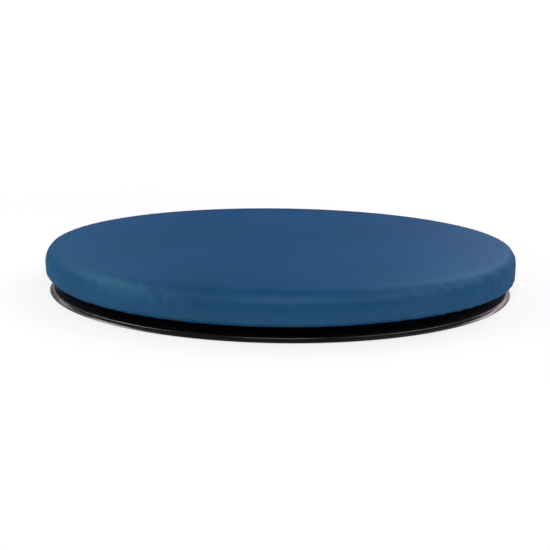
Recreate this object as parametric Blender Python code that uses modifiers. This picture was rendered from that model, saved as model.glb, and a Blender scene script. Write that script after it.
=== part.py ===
"""Swivel seat cushion: a round padded seat that turns on a ring of balls over a thin black base.

Run it with: blender --background --python part.py
Metres, +Z up. The origin is on the swivel axis, at the level that the rubber feet stand on.
Every turned piece is a profile of (radius, height) points, swept round the axis by a Screw modifier.
"""

import math

import bmesh
import bpy
from mathutils import Matrix, Vector

MM = 0.001

# Driving dimensions
CUSHION_RADIUS = 200 * MM
TOTAL_HEIGHT = 40.9 * MM
BASE_RADIUS = 197 * MM
BALL_COUNT = 16
FOOT_COUNT = 8

# Facets of a full turn. The balls stand at corners of the races.
TURN_SEGMENTS = 40
RACE_SEGMENTS = 3 * BALL_COUNT
PLATE_SEGMENTS = 32
SMALL_SEGMENTS = 16
POCKET_SEGMENTS = 12
BALL_SEGMENTS = 10
BALL_RINGS = 5

# Clearances between separate pieces
GAP = 0.2 * MM
WIDE_GAP = 0.3 * MM

# Base: a thin plate with a rounded rim, recessed underneath, that stands on rubber feet
FOOT_STANDOFF = 0.6 * MM
FOOT_RADIUS = 11 * MM
FOOT_RING_RADIUS = 160 * MM
FOOT_SOCKET_DEPTH = 0.4 * MM
FOOT_BEVEL = 0.4 * MM
BASE_THICKNESS = 2.6 * MM
BASE_BOTTOM = FOOT_STANDOFF
BASE_TOP = BASE_BOTTOM + BASE_THICKNESS
BASE_UNDERSIDE = BASE_BOTTOM + 1.0 * MM
RIM_FALL_WIDTH = 3.6 * MM
RIM_FALL_HEIGHT = 2.0 * MM
RIM_WALL = 5.0 * MM
RIM_STEPS = 3
BASE_RIB_COUNT = 8
BASE_RING_RIB_RADIUS = 176 * MM
RIB_WIDTH = 2.5 * MM
RIB_OVERLAP = 0.3 * MM
HUB_RADIUS = 20 * MM
HUB_TOP = BASE_TOP + 4.8 * MM
HUB_CHAMFER = 1.2 * MM

# Ball bearing between the base and the turntable
BALL_RADIUS = 3.0 * MM
PITCH_RADIUS = 130 * MM
BALL_LEVEL = BASE_TOP + 4.0 * MM
RACE_THICKNESS = 1.0 * MM
RACE_HALF_WIDTH = 5.8 * MM
RACE_GROOVE_RADIUS = 4.0 * MM
RACE_LIP = 2.0 * MM
RACE_STEPS = 3
RAIL_INNER_OFFSET = 4.2 * MM
RAIL_OUTER_OFFSET = 7.5 * MM
CHANNEL_FLOOR = BASE_TOP - 0.6 * MM
CAGE_HALF_HEIGHT = 1.6 * MM
CAGE_HALF_WIDTH = 6.5 * MM
CAGE_POCKET_RADIUS = 3.35 * MM

# Turntable: the plate that carries the foam
TURNTABLE_RADIUS = 190 * MM
TURNTABLE_BOTTOM = BALL_LEVEL + 4.6 * MM
TURNTABLE_TOP = TURNTABLE_BOTTOM + 2.8 * MM
TURNTABLE_EDGE = 1.2 * MM
TURNTABLE_HUB_RADIUS = 24 * MM
TURNTABLE_HUB_BOTTOM = HUB_TOP + 0.4 * MM
TURNTABLE_RECESS_RADIUS = 17 * MM
TURNTABLE_RECESS_FLOOR = TURNTABLE_BOTTOM - 0.6 * MM
TURNTABLE_RIB_COUNT = 8
TURNTABLE_RIB_DEPTH = 2.3 * MM

# Pivot: a shoulder screw through a flanged bush, held by a nut in the base
SHOULDER_RADIUS = 5.0 * MM
SHOULDER_TOP = TURNTABLE_RECESS_FLOOR + 2.4 * MM
BUSH_INNER_RADIUS = 5.15 * MM
BUSH_OUTER_RADIUS = 7.0 * MM
BUSH_FLANGE_RADIUS = 11 * MM
BUSH_FLANGE_THICKNESS = 1.0 * MM
WASHER_RADIUS = 12 * MM
WASHER_THICKNESS = 0.8 * MM
SCREW_HEAD_RADIUS = 8.5 * MM
SCREW_HEAD_HEIGHT = 2.2 * MM
SCREW_HEAD_CHAMFER = 0.8 * MM
SCREW_SOCKET_RADIUS = 2.9 * MM
SCREW_SOCKET_DEPTH = 1.5 * MM
THREAD_RADIUS = 3.0 * MM
THREAD_BOTTOM = BASE_TOP - 0.9 * MM
NUT_RADIUS = 5.75 * MM
NUT_HEIGHT = 3.6 * MM
NUT_POCKET_TOP = BASE_TOP + 2.7 * MM
CAP_RADIUS = 15 * MM
CAP_WALL = 2.0 * MM
CAP_THICKNESS = 1.0 * MM
CAP_CHAMFER = 0.4 * MM
CAP_RECESS_TOP = BASE_BOTTOM + 1.4 * MM

# Cushion: fabric cover, two foam discs and the elastic in the cover's hem
FABRIC = 1.2 * MM
CROWN_RISE = 4.0 * MM
CROWN_STEPS = 2
TOP_EDGE_RADIUS = 9.0 * MM
BOTTOM_EDGE_RADIUS = 8.6 * MM
EDGE_STEPS = 3
COVER_BOTTOM = TURNTABLE_BOTTOM - FABRIC - GAP
FOAM_CLEARANCE = 0.3 * MM
FOAM_SPLIT = TURNTABLE_TOP + 12 * MM
FOAM_RELIEF_RADIUS = 14 * MM
FOAM_RELIEF_HEIGHT = 3.0 * MM
FOAM_CHAMFER_WIDTH = 3.5 * MM
FOAM_CHAMFER_HEIGHT = 4.5 * MM
HEM_RADIUS = 151 * MM
HEM_LEVEL = COVER_BOTTOM - 1.2 * MM
HEM_LOOP_RADIUS = 2.4 * MM
# The loop's arc round the cord, in degrees
HEM_LOOP_START = -70
HEM_LOOP_END = -270
HEM_FALL_START = 164 * MM
HEM_STEPS = 5
CORD_RADIUS = 0.8 * MM

# The lowest point of an arc, in degrees
DOWN = -90

# A single place for cylinders that stand on the swivel axis
ON_AXIS = [Vector((0.0, 0.0, 0.0))]


def clear_scene():
    for obj in list(bpy.data.objects):
        bpy.data.objects.remove(obj, do_unlink=True)


def new_collection(name):
    collection = bpy.data.collections.new(name)
    bpy.context.scene.collection.children.link(collection)
    return collection


def make_finish(name, colour, roughness, metallic=0.0):
    """A Principled material from a linear RGB colour."""
    finish = bpy.data.materials.new(name)
    finish.use_nodes = True
    shader = finish.node_tree.nodes["Principled BSDF"]
    shader.inputs["Base Color"].default_value = (*colour, 1.0)
    shader.inputs["Roughness"].default_value = roughness
    shader.inputs["Metallic"].default_value = metallic
    finish.diffuse_color = (*colour, 1.0)
    return finish


def add_object(name, mesh, collection, finish=None):
    obj = bpy.data.objects.new(name, mesh)
    collection.objects.link(obj)
    if finish:
        mesh.materials.append(finish)
    return obj


def add_cutter(name, mesh):
    """A helper that other pieces are cut or joined with. It isn't part of the object."""
    obj = add_object(name, mesh, CUTTERS)
    obj.hide_render = True
    obj.display_type = "WIRE"
    return obj


def combine(obj, cutter, operation):
    modifier = obj.modifiers.new(cutter.name, "BOOLEAN")
    modifier.operation = operation
    modifier.solver = "EXACT"
    modifier.object = cutter


def arc(centre_r, centre_z, radius_r, radius_z, start, end, steps):
    """Points on an ellipse, from the start to the end angle in degrees. Zero points outwards, 90 up."""
    points = []
    for i in range(steps + 1):
        angle = math.radians(start + (end - start) * i / steps)
        points.append(
            (centre_r + radius_r * math.cos(angle), centre_z + radius_z * math.sin(angle))
        )
    return points


def turned(name, profile, finish, segments=TURN_SEGMENTS, closed=True):
    """Sweeps a profile round the Z axis. It runs down its outer side, so that the faces point out."""
    mesh = bpy.data.meshes.new(name)
    edges = [(i, i + 1) for i in range(len(profile) - 1)]
    if closed:
        edges.append((len(profile) - 1, 0))
    mesh.from_pydata([(r, 0.0, z) for r, z in profile], edges, [])
    obj = add_object(name, mesh, PARTS, finish)
    screw = obj.modifiers.new("Turn", "SCREW")
    screw.axis = "Z"
    screw.angle = 2 * math.pi
    screw.steps = segments
    screw.render_steps = segments
    screw.use_merge_vertices = True
    screw.merge_threshold = 0.00001
    screw.use_smooth_shade = False
    return obj


def around(count, offset=0.0):
    """Evenly spaced angles in radians, with offset as a share of the spacing."""
    return [2 * math.pi * (i + offset) / count for i in range(count)]


def polar(radius, angle, z):
    return Vector((radius * math.cos(angle), radius * math.sin(angle), z))


def cylinders_mesh(name, placings, radius, bottom, top, segments):
    """One mesh of upright cylinders, standing at the given points."""
    bm = bmesh.new()
    for place in placings:
        bmesh.ops.create_cone(
            bm,
            cap_ends=True,
            segments=segments,
            radius1=radius,
            radius2=radius,
            depth=top - bottom,
            matrix=Matrix.Translation((place.x, place.y, (bottom + top) / 2)),
        )
    mesh = bpy.data.meshes.new(name)
    bm.to_mesh(mesh)
    bm.free()
    return mesh


def radial_bars_mesh(name, angles, inner, outer, bottom, top):
    """One mesh of straight bars that point away from the axis."""
    bm = bmesh.new()
    for angle in angles:
        place = polar((inner + outer) / 2, angle, (bottom + top) / 2)
        size = Matrix.Diagonal((outer - inner, RIB_WIDTH, top - bottom, 1.0))
        matrix = Matrix.Translation(place) @ Matrix.Rotation(angle, 4, "Z") @ size
        bmesh.ops.create_cube(bm, size=1.0, matrix=matrix)
    mesh = bpy.data.meshes.new(name)
    bm.to_mesh(mesh)
    bm.free()
    return mesh


def foot_places():
    return [polar(FOOT_RING_RADIUS, angle, 0.0) for angle in around(FOOT_COUNT)]


def base_rail(inner, outer):
    """The two ring rails that the lower race lies on, with the channel between them."""
    rail_top = BALL_LEVEL - RACE_LIP - RACE_THICKNESS - GAP
    return [
        (PITCH_RADIUS - outer, BASE_TOP),
        (PITCH_RADIUS - outer, rail_top),
        (PITCH_RADIUS - inner, rail_top),
        (PITCH_RADIUS - inner, CHANNEL_FLOOR),
        (PITCH_RADIUS + inner, CHANNEL_FLOOR),
        (PITCH_RADIUS + inner, rail_top),
        (PITCH_RADIUS + outer, rail_top),
        (PITCH_RADIUS + outer, BASE_TOP),
    ]


def make_base_plate():
    """A flat disc with a rounded rim, a hub, rails for the race, and a ribbed recess underneath."""
    bore = THREAD_RADIUS + GAP
    ring_rib = BASE_RING_RIB_RADIUS
    cap_boss = CAP_RADIUS + CAP_WALL
    profile = [
        (bore, HUB_TOP),
        (HUB_RADIUS - HUB_CHAMFER, HUB_TOP),
        (HUB_RADIUS, HUB_TOP - HUB_CHAMFER),
        (HUB_RADIUS, BASE_TOP),
        *base_rail(RAIL_INNER_OFFSET, RAIL_OUTER_OFFSET),
        *arc(
            BASE_RADIUS - RIM_FALL_WIDTH,
            BASE_TOP - RIM_FALL_HEIGHT,
            RIM_FALL_WIDTH,
            RIM_FALL_HEIGHT,
            90,
            0,
            RIM_STEPS,
        ),
        (BASE_RADIUS - (BASE_THICKNESS - RIM_FALL_HEIGHT), BASE_BOTTOM),
        (BASE_RADIUS - RIM_WALL, BASE_BOTTOM),
        (BASE_RADIUS - RIM_WALL, BASE_UNDERSIDE),
        (ring_rib + RIB_WIDTH, BASE_UNDERSIDE),
        (ring_rib + RIB_WIDTH, BASE_BOTTOM),
        (ring_rib, BASE_BOTTOM),
        (ring_rib, BASE_UNDERSIDE),
        (cap_boss, BASE_UNDERSIDE),
        (cap_boss, BASE_BOTTOM),
        (CAP_RADIUS, BASE_BOTTOM),
        (CAP_RADIUS, CAP_RECESS_TOP),
        (bore, CAP_RECESS_TOP),
    ]
    plate = turned("base_plate", profile, BLACK_GLOSS)
    ribs = radial_bars_mesh(
        "base_ribs",
        around(BASE_RIB_COUNT, 0.5),
        cap_boss - CAP_WALL / 2,
        ring_rib + RIB_WIDTH / 2,
        BASE_BOTTOM,
        BASE_UNDERSIDE + RIB_OVERLAP,
    )
    combine(plate, add_cutter("base_ribs", ribs), "UNION")
    sockets = cylinders_mesh(
        "foot_sockets",
        foot_places(),
        FOOT_RADIUS + WIDE_GAP,
        0.0,
        BASE_UNDERSIDE + FOOT_SOCKET_DEPTH,
        SMALL_SEGMENTS,
    )
    combine(plate, add_cutter("foot_sockets", sockets), "DIFFERENCE")
    pocket = cylinders_mesh("nut_pocket", ON_AXIS, NUT_RADIUS + WIDE_GAP, 0.0, NUT_POCKET_TOP, 6)
    combine(plate, add_cutter("nut_pocket", pocket), "DIFFERENCE")


def make_feet():
    """Round rubber pads, pressed into the sockets under the base."""
    top = BASE_UNDERSIDE + FOOT_SOCKET_DEPTH - GAP
    for i, place in enumerate(foot_places(), start=1):
        mesh = cylinders_mesh(f"foot_pad_{i}", ON_AXIS, FOOT_RADIUS, 0.0, top, SMALL_SEGMENTS)
        foot = add_object(f"foot_pad_{i}", mesh, PARTS, RUBBER)
        foot.location = place
        bevel = foot.modifiers.new("Soft edge", "BEVEL")
        bevel.width = FOOT_BEVEL
        bevel.segments = 1
        bevel.limit_method = "ANGLE"
        bevel.angle_limit = math.radians(60)


def race_profile(side):
    """A formed steel strip with a groove for the balls. Side is -1 for the lower race, 1 for the upper."""
    # The groove is a little wider than a ball, so its centre lies above the balls' level.
    centre_z = BALL_LEVEL + RACE_GROOVE_RADIUS - BALL_RADIUS - GAP
    lip = BALL_LEVEL - RACE_LIP
    back_radius = RACE_GROOVE_RADIUS + RACE_THICKNESS
    half_groove = math.degrees(math.acos((centre_z - lip) / RACE_GROOVE_RADIUS))
    half_back = math.degrees(math.acos((centre_z - lip + RACE_THICKNESS) / back_radius))
    edge_in = PITCH_RADIUS - RACE_HALF_WIDTH
    edge_out = PITCH_RADIUS + RACE_HALF_WIDTH
    loop = [
        (edge_in, lip),
        *arc(
            PITCH_RADIUS,
            centre_z,
            RACE_GROOVE_RADIUS,
            RACE_GROOVE_RADIUS,
            DOWN - half_groove,
            DOWN + half_groove,
            RACE_STEPS,
        ),
        (edge_out, lip),
        (edge_out, lip - RACE_THICKNESS),
        *arc(
            PITCH_RADIUS,
            centre_z,
            back_radius,
            back_radius,
            DOWN + half_back,
            DOWN - half_back,
            RACE_STEPS,
        ),
        (edge_in, lip - RACE_THICKNESS),
    ]
    if side < 0:
        return loop
    # The upper race is the lower one reflected at the balls' level, so its loop runs the other way.
    return [(r, 2 * BALL_LEVEL - z) for r, z in reversed(loop)]


def make_ball_mesh():
    bm = bmesh.new()
    bmesh.ops.create_uvsphere(
        bm, u_segments=BALL_SEGMENTS, v_segments=BALL_RINGS, radius=BALL_RADIUS
    )
    mesh = bpy.data.meshes.new("bearing_ball")
    bm.to_mesh(mesh)
    bm.free()
    mesh.shade_smooth()
    mesh.materials.append(BALL_STEEL)
    return mesh


def ball_places():
    return [(angle, polar(PITCH_RADIUS, angle, BALL_LEVEL)) for angle in around(BALL_COUNT)]


def make_bearing():
    """The two races, the cage with its pockets, and the balls, each with its own origin."""
    turned("lower_race", race_profile(-1), RACE_STEEL, RACE_SEGMENTS)
    turned("upper_race", race_profile(1), RACE_STEEL, RACE_SEGMENTS)
    inner, outer = PITCH_RADIUS - CAGE_HALF_WIDTH, PITCH_RADIUS + CAGE_HALF_WIDTH
    low, high = BALL_LEVEL - CAGE_HALF_HEIGHT, BALL_LEVEL + CAGE_HALF_HEIGHT
    cage_profile = [(inner, high), (outer, high), (outer, low), (inner, low)]
    cage = turned("ball_cage", cage_profile, ACETAL, PLATE_SEGMENTS)
    pockets = cylinders_mesh(
        "cage_pockets",
        [place for _, place in ball_places()],
        CAGE_POCKET_RADIUS,
        low - CAGE_HALF_HEIGHT,
        high + CAGE_HALF_HEIGHT,
        POCKET_SEGMENTS,
    )
    combine(cage, add_cutter("cage_pockets", pockets), "DIFFERENCE")
    ball_mesh = make_ball_mesh()
    for i, (angle, place) in enumerate(ball_places(), start=1):
        ball = bpy.data.objects.new(f"bearing_ball_{i:02d}", ball_mesh)
        PARTS.objects.link(ball)
        ball.location = place
        # Local X lies along the radius, which is the axis that the ball rolls about.
        ball.rotation_euler = (0.0, 0.0, angle)


def make_turntable():
    """The upper plate, with a sunk centre for the pivot, two rails round the race, and ribs underneath."""
    rail_bottom = BALL_LEVEL + RACE_LIP + RACE_THICKNESS + GAP
    edge = TURNTABLE_EDGE
    rim_z = (TURNTABLE_TOP + TURNTABLE_BOTTOM) / 2
    inner, outer = RAIL_INNER_OFFSET, RAIL_OUTER_OFFSET
    bore = BUSH_OUTER_RADIUS + GAP
    profile = [
        (bore, TURNTABLE_RECESS_FLOOR),
        (TURNTABLE_RECESS_RADIUS, TURNTABLE_RECESS_FLOOR),
        (TURNTABLE_RECESS_RADIUS, TURNTABLE_TOP),
        (TURNTABLE_RADIUS - edge, TURNTABLE_TOP),
        (TURNTABLE_RADIUS, rim_z),
        (TURNTABLE_RADIUS - edge, TURNTABLE_BOTTOM),
        (PITCH_RADIUS + outer, TURNTABLE_BOTTOM),
        (PITCH_RADIUS + outer, rail_bottom),
        (PITCH_RADIUS + inner, rail_bottom),
        (PITCH_RADIUS + inner, TURNTABLE_BOTTOM),
        (PITCH_RADIUS - inner, TURNTABLE_BOTTOM),
        (PITCH_RADIUS - inner, rail_bottom),
        (PITCH_RADIUS - outer, rail_bottom),
        (PITCH_RADIUS - outer, TURNTABLE_BOTTOM),
        (TURNTABLE_HUB_RADIUS, TURNTABLE_BOTTOM),
        (TURNTABLE_HUB_RADIUS, TURNTABLE_HUB_BOTTOM),
        (bore, TURNTABLE_HUB_BOTTOM),
    ]
    plate = turned("turntable_plate", profile, BLACK_SATIN, PLATE_SEGMENTS)
    ribs = radial_bars_mesh(
        "turntable_ribs",
        around(TURNTABLE_RIB_COUNT, 0.5),
        TURNTABLE_HUB_RADIUS - RIB_WIDTH,
        PITCH_RADIUS - outer + RIB_OVERLAP,
        TURNTABLE_BOTTOM - TURNTABLE_RIB_DEPTH,
        TURNTABLE_BOTTOM + RIB_OVERLAP,
    )
    combine(plate, add_cutter("turntable_ribs", ribs), "UNION")


def make_pivot():
    """Screw, nut, washer, bush and the cap that hides the nut from below."""
    head_top = SHOULDER_TOP + SCREW_HEAD_HEIGHT
    shoulder_bottom = HUB_TOP + GAP
    screw = turned(
        "pivot_screw",
        [
            (0.0, head_top),
            (SCREW_HEAD_RADIUS - SCREW_HEAD_CHAMFER, head_top),
            (SCREW_HEAD_RADIUS, head_top - SCREW_HEAD_CHAMFER),
            (SCREW_HEAD_RADIUS, SHOULDER_TOP),
            (SHOULDER_RADIUS, SHOULDER_TOP),
            (SHOULDER_RADIUS, shoulder_bottom),
            (THREAD_RADIUS, shoulder_bottom),
            (THREAD_RADIUS, THREAD_BOTTOM),
            (0.0, THREAD_BOTTOM),
        ],
        PLATED_STEEL,
        SMALL_SEGMENTS,
        closed=False,
    )
    socket = cylinders_mesh(
        "screw_socket",
        ON_AXIS,
        SCREW_SOCKET_RADIUS,
        head_top - SCREW_SOCKET_DEPTH,
        head_top + SCREW_SOCKET_DEPTH,
        6,
    )
    combine(screw, add_cutter("screw_socket", socket), "DIFFERENCE")

    nut_top = NUT_POCKET_TOP - GAP
    nut_mesh = cylinders_mesh("pivot_nut", ON_AXIS, NUT_RADIUS, nut_top - NUT_HEIGHT, nut_top, 6)
    nut = add_object("pivot_nut", nut_mesh, PARTS, PLATED_STEEL)
    nut_bore = cylinders_mesh("nut_bore", ON_AXIS, THREAD_RADIUS + GAP, 0.0, HUB_TOP, SMALL_SEGMENTS)
    combine(nut, add_cutter("nut_bore", nut_bore), "DIFFERENCE")

    flange_bottom = TURNTABLE_RECESS_FLOOR + GAP
    flange_top = flange_bottom + BUSH_FLANGE_THICKNESS
    turned(
        "pivot_bush",
        [
            (BUSH_INNER_RADIUS, flange_top),
            (BUSH_FLANGE_RADIUS, flange_top),
            (BUSH_FLANGE_RADIUS, flange_bottom),
            (BUSH_OUTER_RADIUS, flange_bottom),
            (BUSH_OUTER_RADIUS, TURNTABLE_HUB_BOTTOM),
            (BUSH_INNER_RADIUS, TURNTABLE_HUB_BOTTOM),
        ],
        ACETAL,
        SMALL_SEGMENTS,
    )
    washer_bottom = flange_top + GAP
    washer_top = washer_bottom + WASHER_THICKNESS
    washer_bore = SHOULDER_RADIUS + GAP
    turned(
        "pivot_washer",
        [
            (washer_bore, washer_top),
            (WASHER_RADIUS, washer_top),
            (WASHER_RADIUS, washer_bottom),
            (washer_bore, washer_bottom),
        ],
        PLATED_STEEL,
        SMALL_SEGMENTS,
    )
    cap_radius = CAP_RADIUS - WIDE_GAP
    cap_bottom = BASE_BOTTOM + GAP
    turned(
        "hub_cap",
        [
            (0.0, cap_bottom + CAP_THICKNESS),
            (cap_radius, cap_bottom + CAP_THICKNESS),
            (cap_radius, cap_bottom + CAP_CHAMFER),
            (cap_radius - CAP_CHAMFER, cap_bottom),
            (0.0, cap_bottom),
        ],
        BLACK_SATIN,
        SMALL_SEGMENTS,
        closed=False,
    )


def crown_height(radius, inset):
    """Height of the crowned top, inset below the outer face of the cover."""
    edge = CUSHION_RADIUS - TOP_EDGE_RADIUS
    return TOTAL_HEIGHT - inset - CROWN_RISE * (radius / edge) ** 2


def upper_outline(inset):
    """From the centre of the top, over the rounded edge, to the widest part of the side."""
    edge_r = CUSHION_RADIUS - TOP_EDGE_RADIUS
    edge_z = TOTAL_HEIGHT - CROWN_RISE - TOP_EDGE_RADIUS
    radius = TOP_EDGE_RADIUS - inset
    crown = [
        (edge_r * i / CROWN_STEPS, crown_height(edge_r * i / CROWN_STEPS, inset))
        for i in range(CROWN_STEPS)
    ]
    return crown + arc(edge_r, edge_z, radius, radius, 90, 0, EDGE_STEPS)


def make_cover():
    """A fabric shell, open underneath, with a hem that curls round the elastic."""
    bottom_r = CUSHION_RADIUS - BOTTOM_EDGE_RADIUS
    bottom_z = COVER_BOTTOM + BOTTOM_EDGE_RADIUS
    profile = [
        *upper_outline(0.0),
        *arc(bottom_r, bottom_z, BOTTOM_EDGE_RADIUS, BOTTOM_EDGE_RADIUS, 0, DOWN, EDGE_STEPS),
        (HEM_FALL_START, COVER_BOTTOM),
        *arc(
            HEM_RADIUS,
            HEM_LEVEL,
            HEM_LOOP_RADIUS,
            HEM_LOOP_RADIUS,
            HEM_LOOP_START,
            HEM_LOOP_END,
            HEM_STEPS,
        ),
    ]
    cover = turned("cover", profile, BLUE_FABRIC, closed=False)
    shell = cover.modifiers.new("Fabric thickness", "SOLIDIFY")
    shell.thickness = FABRIC
    shell.offset = -1.0
    shell.use_even_offset = True
    shell.use_rim = True


def make_foam():
    """A firm disc that lies on the turntable, and a softer crowned disc on top of it."""
    inset = FABRIC + FOAM_CLEARANCE
    side = CUSHION_RADIUS - inset
    bottom = TURNTABLE_TOP + GAP
    turned(
        "foam_support",
        [
            (0.0, FOAM_SPLIT),
            (side, FOAM_SPLIT),
            (side, bottom + FOAM_CHAMFER_HEIGHT),
            (side - FOAM_CHAMFER_WIDTH, bottom),
            (FOAM_RELIEF_RADIUS, bottom),
            (FOAM_RELIEF_RADIUS, bottom + FOAM_RELIEF_HEIGHT),
            (0.0, bottom + FOAM_RELIEF_HEIGHT),
        ],
        GREY_FOAM,
        closed=False,
    )
    turned(
        "foam_comfort",
        [
            *upper_outline(inset),
            (side, FOAM_SPLIT + FOAM_CLEARANCE),
            (0.0, FOAM_SPLIT + FOAM_CLEARANCE),
        ],
        PALE_FOAM,
        closed=False,
    )


def make_elastic():
    """The elastic cord in the hem: a round ring."""
    curve = bpy.data.curves.new("elastic_cord", "CURVE")
    curve.dimensions = "3D"
    spline = curve.splines.new("POLY")
    spline.points.add(TURN_SEGMENTS - 1)
    for point, angle in zip(spline.points, around(TURN_SEGMENTS)):
        point.co = (*polar(HEM_RADIUS, angle, HEM_LEVEL), 1.0)
    spline.use_cyclic_u = True
    curve.bevel_depth = CORD_RADIUS
    curve.bevel_resolution = 1
    curve.materials.append(ELASTIC)
    PARTS.objects.link(bpy.data.objects.new("elastic_cord", curve))


clear_scene()
PARTS = new_collection("swivel_seat_cushion")
CUTTERS = new_collection("cutters")

BLACK_GLOSS = make_finish("black_gloss_plastic", (0.012, 0.011, 0.010), 0.16)
BLACK_SATIN = make_finish("black_satin_plastic", (0.015, 0.015, 0.016), 0.45)
RACE_STEEL = make_finish("race_steel", (0.55, 0.55, 0.56), 0.35, 1.0)
BALL_STEEL = make_finish("ball_steel", (0.70, 0.70, 0.71), 0.12, 1.0)
PLATED_STEEL = make_finish("plated_steel", (0.60, 0.60, 0.58), 0.30, 1.0)
ACETAL = make_finish("black_acetal", (0.018, 0.018, 0.019), 0.45)
RUBBER = make_finish("foot_rubber", (0.035, 0.035, 0.037), 0.85)
BLUE_FABRIC = make_finish("blue_cover_fabric", (0.027, 0.088, 0.200), 0.90)
GREY_FOAM = make_finish("support_foam", (0.30, 0.31, 0.33), 0.95)
PALE_FOAM = make_finish("comfort_foam", (0.75, 0.70, 0.55), 0.95)
ELASTIC = make_finish("elastic_cord_white", (0.65, 0.65, 0.63), 0.90)

make_base_plate()
make_feet()
make_bearing()
make_turntable()
make_pivot()
make_cover()
make_foam()
make_elastic()
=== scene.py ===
"""Looks of the swivel seat cushion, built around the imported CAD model.

The cover is fabric, simulated as cloth over the foam's form, with an elastic hem underneath.
The glossy base is turned again in fine steps. The turntable, the bearing, the pivot, the cap and the feet
keep their CAD shapes.

Metres, +Z up. Angles round the axis start at +X and turn towards +Y, so the front is at -90 degrees.
"""

import math

import bmesh
import bpy
import numpy as np
from mathutils import Matrix, Vector, noise


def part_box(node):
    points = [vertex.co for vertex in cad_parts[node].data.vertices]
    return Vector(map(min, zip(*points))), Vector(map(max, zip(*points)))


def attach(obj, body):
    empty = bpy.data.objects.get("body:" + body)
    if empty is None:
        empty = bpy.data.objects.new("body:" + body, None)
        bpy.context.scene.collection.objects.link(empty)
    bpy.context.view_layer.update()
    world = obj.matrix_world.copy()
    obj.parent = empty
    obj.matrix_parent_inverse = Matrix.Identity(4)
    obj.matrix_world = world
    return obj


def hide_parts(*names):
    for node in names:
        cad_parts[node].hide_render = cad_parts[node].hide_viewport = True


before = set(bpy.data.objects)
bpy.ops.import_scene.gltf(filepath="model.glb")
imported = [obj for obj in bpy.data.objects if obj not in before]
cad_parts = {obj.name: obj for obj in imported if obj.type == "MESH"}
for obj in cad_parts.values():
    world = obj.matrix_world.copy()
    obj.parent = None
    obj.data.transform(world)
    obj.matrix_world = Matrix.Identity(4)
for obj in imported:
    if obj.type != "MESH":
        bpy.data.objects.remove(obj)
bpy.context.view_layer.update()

MM = 0.001
MERGE_DISTANCE = 1e-6

# Places read from the frame
_, COVER_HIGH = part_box("cover")
CORD_LOW, CORD_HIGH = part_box("elastic_cord")
BASE_LOW, BASE_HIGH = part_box("base_plate")
_, TURNTABLE_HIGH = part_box("turntable_plate")
SUPPORT_LOW, SUPPORT_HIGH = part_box("foam_support")
COMFORT_LOW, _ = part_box("foam_comfort")
FOOT_LOW, FOOT_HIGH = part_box("foot_pad_1")
NUT_LOW, NUT_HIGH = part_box("pivot_nut")
CAP_LOW, CAP_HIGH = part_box("hub_cap")
_, RACE_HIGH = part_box("lower_race")

# Cushion: a low crown that rolls off before the edge. A FRONT value is what is added at the very front.
# A SWING value is what comes off a radius at +X and is added to it at -X.
CUSHION_RADIUS = COVER_HIGH.x
CUSHION_TOP = COVER_HIGH.z
CROWN_RISE = 1.2 * MM
ROLL_OFF = 1.2 * MM
ROLL_OFF_FRONT = 1.6 * MM
ROLL_OFF_WIDTH = 26.0 * MM
ROLL_OFF_WIDTH_FRONT = 14.0 * MM
TOP_EDGE_RADIUS = 10.5 * MM
TOP_EDGE_SWING = 1.5 * MM
TOP_EDGE_FRONT = 4.2 * MM
BOTTOM_EDGE_RADIUS = 8.0 * MM
BOTTOM_EDGE_SWING = 1.8 * MM
UNDERSIDE_DROP = 4.2 * MM
COVER_BOTTOM = TURNTABLE_HIGH.z - UNDERSIDE_DROP
FABRIC = 1.0 * MM

# The elastic lifts the cover's lower edge a little round one bearing, in degrees
LIFT = 1.3 * MM
LIFT_BEARING = -48
LIFT_WIDTH = 32

# Hem: the cover falls from the turntable's underside to a loop round the elastic cord
HEM_RADIUS = (CORD_HIGH.x - CORD_LOW.x) / 2 - (CORD_HIGH.z - CORD_LOW.z) / 2
HEM_LEVEL = (CORD_HIGH.z + CORD_LOW.z) / 2
HEM_LOOP_RADIUS = 2.3 * MM
HEM_FALL_START = 164 * MM
HEM_LOOP_START = -70
HEM_LOOP_END = -270

# Elastic cord: each plait swells the cord where its strands cross
CORD_RADIUS = 0.76 * MM
CORD_SEGMENTS = 720
CORD_STRANDS = 10
CORD_PLAITS = 180
CORD_SWELL = 0.09

# Rings of the cover's mesh, from the middle of the top to the hem
COVER_SEGMENTS = 288
CROWN_RINGS = 44
EDGE_RINGS = 4
SIDE_RINGS = 4
UNDER_RINGS = 7
FALL_RINGS = 2
LOOP_RINGS = 8

# Cloth: the loose rings are the lower half of the top edge, the side and the lower edge
CLOTH_SCALE = 10.0
CLOTH_FRAMES = 40
CLOTH_CAP = 5.0 * MM
PINNED_RINGS = 40
FIRST_LOOSE = CROWN_RINGS + EDGE_RINGS // 2
LOOSE_RINGS = EDGE_RINGS // 2 + SIDE_RINGS + EDGE_RINGS
SHAKE = 0.35 * MM
SHAKE_SCALE = 90.0
SPARE_FABRIC = 0.02
CREASE_SPAN = 10
CLOTH_SETTINGS = {
    "quality": 6,
    "mass": 0.25,
    "tension_stiffness": 15,
    "compression_stiffness": 15,
    "shear_stiffness": 3,
    "bending_stiffness": 2.0,
    "air_damping": 2.0,
    "shrink_min": -SPARE_FABRIC,
    "shrink_max": 0.0,
}
# Contact with the form: the gap and the thickness are in metres at the cloth's scale
CLOTH_GAP = 0.008
FORM_THICKNESS = 0.002
FORM_FRICTION = 8.0
FORM_INSET = FABRIC + 0.2 * MM
FORM_SEGMENTS = 96
# How loose the side is everywhere, and the looser places: degrees round the axis, width in degrees, amount
FULL_BASE = 0.1
FULL_SPOTS = ((-45, 20, 0.9), (-16, 10, 0.3), (-125, 14, 0.45), (62, 30, 0.7), (150, 26, 0.6))

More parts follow.
